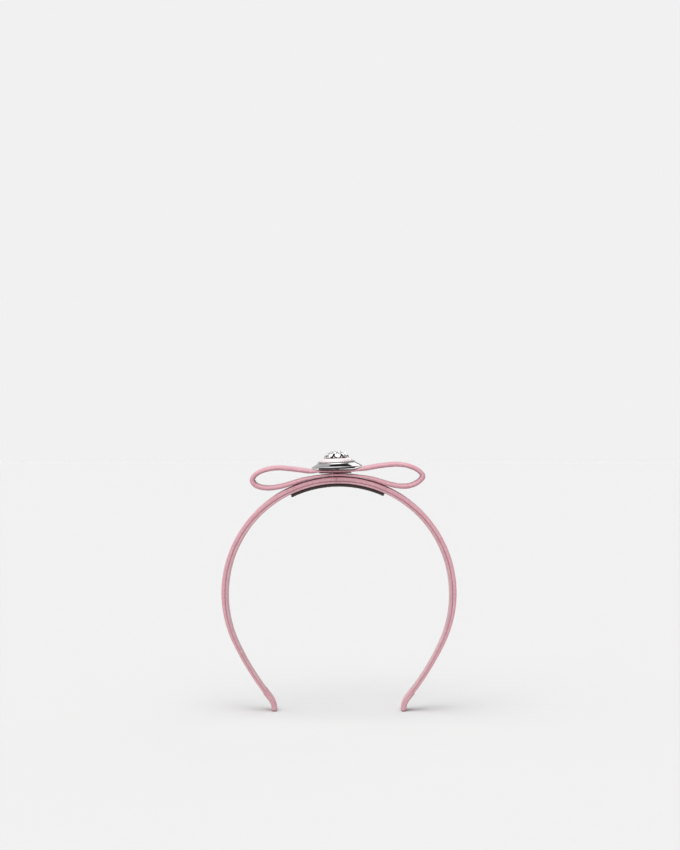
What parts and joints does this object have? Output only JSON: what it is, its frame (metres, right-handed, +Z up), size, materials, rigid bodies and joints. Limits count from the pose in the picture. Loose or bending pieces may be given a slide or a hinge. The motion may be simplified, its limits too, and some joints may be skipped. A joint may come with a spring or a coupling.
{
  "type": "satin hair band with bow",
  "caption": "Horseshoe hair band covered in pink satin, with a flat padded bow and a polished round medallion on its crown, standing on its two tips.",
  "frame": {"origin": "on the surface that the band stands on, midway between its tips", "axes": "+Z up from the tips to the crown, +X to the wearer's left as seen from the front, the front faces -Y"},
  "size_m": [0.1416, 0.0306, 0.1564],
  "materials": {
    "core": "flat spring steel",
    "padding": "foam",
    "satin": "pink satin",
    "lining": "pink satin lining",
    "grip_backing": "black backing",
    "grip": "dark brown napped cloth",
    "stiffener": "stiff interlining",
    "thread": "sewing thread",
    "polished_metal": "polished",
    "enamel": "glossy pale pink enamel"
  },
  "bodies": {
    "crown": {"crown_core": "core", "crown_padding": "padding", "crown_satin_cover": "satin", "crown_lining": "lining", "grip_strip_backing": "grip_backing", "grip_strip": "grip", "bow_strap_sleeve": "satin", "bow_strap_stiffener": "stiffener", "bow_centre_stay": "satin", "bow_tack_left_front": "thread", "bow_tack_left_back": "thread", "bow_tack_right_front": "thread", "bow_tack_right_back": "thread", "bow_tack_middle_front": "thread", "bow_tack_middle_back": "thread", "medallion_tray": "polished_metal", "bead_ring": "polished_metal", "enamel_ring": "enamel", "rosette": "polished_metal", "medallion_post": "polished_metal", "post_washer": "polished_metal"},
    "left_arm": {"left_arm_core": "core", "left_arm_padding": "padding", "left_arm_satin_cover": "satin", "left_arm_lining": "lining", "left_end_wrap": "satin"},
    "right_arm": {"right_arm_core": "core", "right_arm_padding": "padding", "right_arm_satin_cover": "satin", "right_arm_lining": "lining", "right_end_wrap": "satin"}
  },
  "joints": [
    {"name": "left_flex", "type": "hinge", "parent": "crown", "child": "left_arm", "pos_m": [-0.03435, 0, 0.12979], "axis": [0, 1, 0], "range_deg": [-3, 12], "stiffness_Nm_per_rad": 1.3},
    {"name": "right_flex", "type": "hinge", "parent": "crown", "child": "right_arm", "pos_m": [0.03435, 0, 0.12979], "axis": [0, -1, 0], "range_deg": [-3, 12], "stiffness_Nm_per_rad": 1.3}
  ]
}
